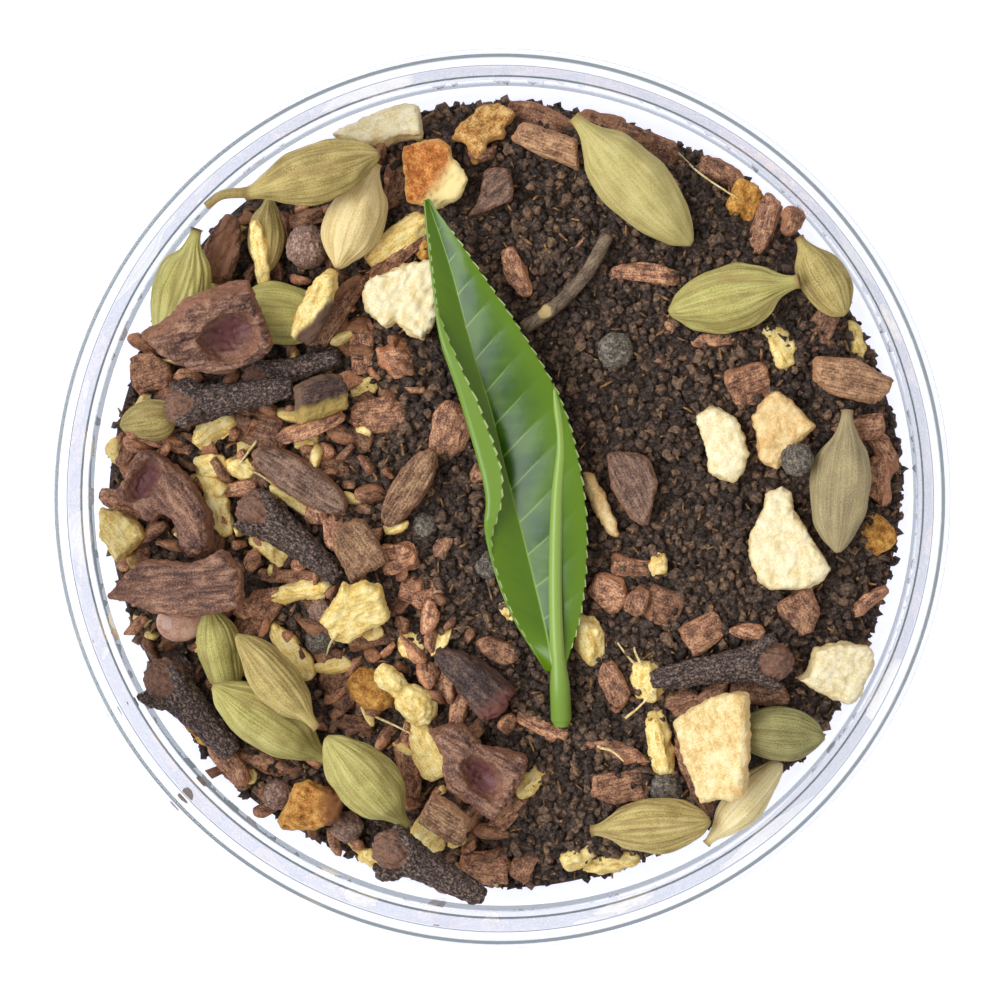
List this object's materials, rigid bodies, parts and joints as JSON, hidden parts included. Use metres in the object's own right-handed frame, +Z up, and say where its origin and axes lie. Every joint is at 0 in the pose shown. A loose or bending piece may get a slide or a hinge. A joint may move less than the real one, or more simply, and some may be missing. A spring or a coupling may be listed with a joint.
{
  "type": "dish of dry masala chai blend",
  "caption": "Shallow round glass dish of dry masala chai: black tea granules heaped with cardamom, cloves, star anise, ginger, peel and bark, a fresh tea shoot on top.",
  "frame": {"origin": "middle of the dish's flat foot, on the surface it stands on", "axes": "+Z up out of the dish; +X to the right and +Y to the top of the blend as seen from above, the leaf's tip towards +Y"},
  "size_m": [0.1, 0.1, 0.02],
  "materials": {
    "glass_dish": "clear pressed glass, polished",
    "tea_bed": "dry rolled black tea granules, matt",
    "tea_shoot": "fresh green leaf, waxy gloss",
    "cardamom_pod": "dry papery ribbed husk",
    "clove": "dry wrinkled bud, matt",
    "star_anise": "dry wrinkled carpel, satin inside",
    "star_anise_seed": "smooth glossy seed",
    "allspice_berry": "dry rough berry, matt",
    "peppercorn": "dry wrinkled berry, matt",
    "ginger_slice": "dry fibrous root slice, matt",
    "ginger_knob": "dry fibrous root tip, matt",
    "peel": "dry pitted citrus peel",
    "bark_chip": "dry cinnamon bark, matt",
    "twig": "dry twig bark, matt"
  },
  "bodies": {
    "root": {"glass_dish": "glass_dish", "tea_bed": "tea_bed", "cardamom_pod_1": "cardamom_pod", "star_anise_1": "star_anise", "cardamom_pod_2": "cardamom_pod", "cardamom_pod_3": "cardamom_pod", "clove_1": "clove", "allspice_berry_1": "allspice_berry", "cardamom_pod_4": "cardamom_pod", "ginger_slice_1": "ginger_slice", "peel_1": "peel", "peel_2": "peel", "cardamom_pod_5": "cardamom_pod", "ginger_slice_2": "ginger_slice", "star_anise_2": "star_anise", "cardamom_pod_6": "cardamom_pod", "clove_2": "clove", "bark_chip_1": "bark_chip", "ginger_slice_3": "ginger_slice", "star_anise_3": "star_anise", "star_anise_seed_1": "star_anise_seed", "cardamom_pod_7": "cardamom_pod", "star_anise_4": "star_anise", "clove_3": "clove", "bark_chip_2": "bark_chip", "bark_chip_3": "bark_chip", "clove_4": "clove", "cardamom_pod_8": "cardamom_pod", "cardamom_pod_9": "cardamom_pod", "peel_3": "peel", "cardamom_pod_10": "cardamom_pod", "clove_5": "clove", "ginger_slice_4": "ginger_slice", "bark_chip_4": "bark_chip", "ginger_slice_5": "ginger_slice", "ginger_knob_1": "ginger_knob", "star_anise_5": "star_anise", "star_anise_6": "star_anise", "bark_chip_5": "bark_chip", "bark_chip_6": "bark_chip", "bark_chip_7": "bark_chip", "ginger_slice_6": "ginger_slice", "bark_chip_8": "bark_chip", "twig_1": "twig", "cardamom_pod_11": "cardamom_pod", "cardamom_pod_12": "cardamom_pod", "cardamom_pod_13": "cardamom_pod", "bark_chip_9": "bark_chip", "ginger_slice_7": "ginger_slice", "ginger_slice_8": "ginger_slice", "cardamom_pod_14": "cardamom_pod", "ginger_slice_9": "ginger_slice", "peppercorn_1": "peppercorn", "cardamom_pod_15": "cardamom_pod", "cardamom_pod_16": "cardamom_pod", "cardamom_pod_17": "cardamom_pod", "ginger_slice_10": "ginger_slice", "clove_6": "clove", "ginger_slice_11": "ginger_slice", "tea_shoot": "tea_shoot"}
  },
  "joints": []
}
